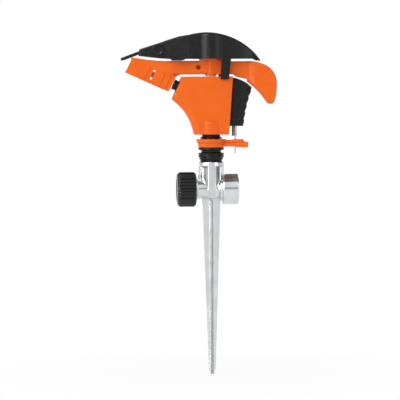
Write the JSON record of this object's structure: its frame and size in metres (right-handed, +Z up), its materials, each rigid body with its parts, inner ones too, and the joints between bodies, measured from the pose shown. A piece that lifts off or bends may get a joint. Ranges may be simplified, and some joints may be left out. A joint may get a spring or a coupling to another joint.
{
  "type": "impact sprinkler on a ground spike",
  "caption": "Impact sprinkler with a turning plastic head, sprung impact arm, trip lever and collars, on a cast spike with a hose inlet and a capped outlet.",
  "frame": {"origin": "on the head's vertical turning axis, at the top of the ground spike where it meets the ground", "axes": "+Z up along the turning axis, -X the way the nozzle points and the side of the capped stub, +X the side of the hose inlet, -Y the near side"},
  "size_m": [0.1638, 0.0372, 0.3595],
  "materials": {
    "zinc_casting": "polished die-cast zinc",
    "steel": "drawn stainless steel",
    "brass": "turned brass",
    "black_plastic": "moulded black polypropylene, satin",
    "orange_plastic": "moulded orange ABS, semi-gloss",
    "rubber": "black rubber washer",
    "nylon": "natural nylon"
  },
  "bodies": {
    "base": {"spike_casting": "zinc_casting", "inlet_hose_washer": "rubber", "bearing_nipple": "black_plastic", "nipple_gasket": "rubber"},
    "cap_seal": {"cap_gasket": "rubber"},
    "cap": {"outlet_cap": "black_plastic"},
    "upper_collar": {"upper_trip_collar": "orange_plastic"},
    "lower_collar": {"lower_trip_collar": "orange_plastic"},
    "head": {"head_body": "orange_plastic", "stem_tube": "brass", "stem_spring": "steel", "spring_sleeve": "black_plastic", "thrust_washer_lower": "nylon", "thrust_washer_seal": "rubber", "thrust_washer_upper": "nylon", "nozzle": "black_plastic", "nozzle_o_ring": "rubber", "bridge_cover": "black_plastic", "front_bonnet": "black_plastic", "deflector_pivot_pin": "black_plastic", "arm_pivot_pin": "steel", "arm_return_spring": "steel", "trip_pivot_pin": "steel"},
    "arm": {"impact_arm": "orange_plastic", "arm_bushing": "nylon"},
    "flap": {"deflector_flap": "black_plastic"},
    "trip": {"trip_lever": "black_plastic", "trip_spring": "steel", "wire_pivot_pin": "steel"},
    "wire": {"wire_sleeve": "steel", "trip_wire": "steel"}
  },
  "joints": [
    {"name": "cap_seal_travel", "type": "slide", "parent": "base", "child": "cap_seal", "axis": [-1, 0, 0], "range_m": [0, 0.00883]},
    {"name": "cap_turn", "type": "hinge", "parent": "cap_seal", "child": "cap", "pos_m": [0, 0, 0.0112], "axis": [-1, 0, 0], "range_deg": [0, 1440]},
    {"name": "head_spin", "type": "hinge", "parent": "base", "child": "head", "pos_m": [0, 0, 0.052], "axis": [0, 0, 1], "range_deg": [0, 270]},
    {"name": "upper_collar_turn", "type": "hinge", "parent": "base", "child": "upper_collar", "pos_m": [0, 0, 0.062], "axis": [0, 0, 1], "range_deg": [-50, 0]},
    {"name": "lower_collar_turn", "type": "hinge", "parent": "base", "child": "lower_collar", "pos_m": [0, 0, 0.0575], "axis": [0, 0, 1], "range_deg": [-50, 0]},
    {"name": "arm_swing", "type": "hinge", "parent": "head", "child": "arm", "pos_m": [0, 0, 0.139], "axis": [0, 0, 1], "range_deg": [0, 22], "stiffness_Nm_per_rad": 0.02, "springref_deg": -17.19},
    {"name": "deflector_tilt", "type": "hinge", "parent": "head", "child": "flap", "pos_m": [-0.0559, 0, 0.1569], "axis": [0, 1, 0], "range_deg": [0, 35]},
    {"name": "trip_toggle", "type": "hinge", "parent": "head", "child": "trip", "pos_m": [0.022, 0, 0.097], "axis": [1, 0, 0], "range_deg": [0, 12]},
    {"name": "trip_wire_flip", "type": "hinge", "parent": "trip", "child": "wire", "pos_m": [0.0254, 0, 0.0805], "axis": [0, -1, 0], "range_deg": [0, 90]}
  ],
  "couplings": [
    {"joint": "cap_turn", "follows": "cap_seal_travel", "rad_per_m": 2844.9}
  ]
}
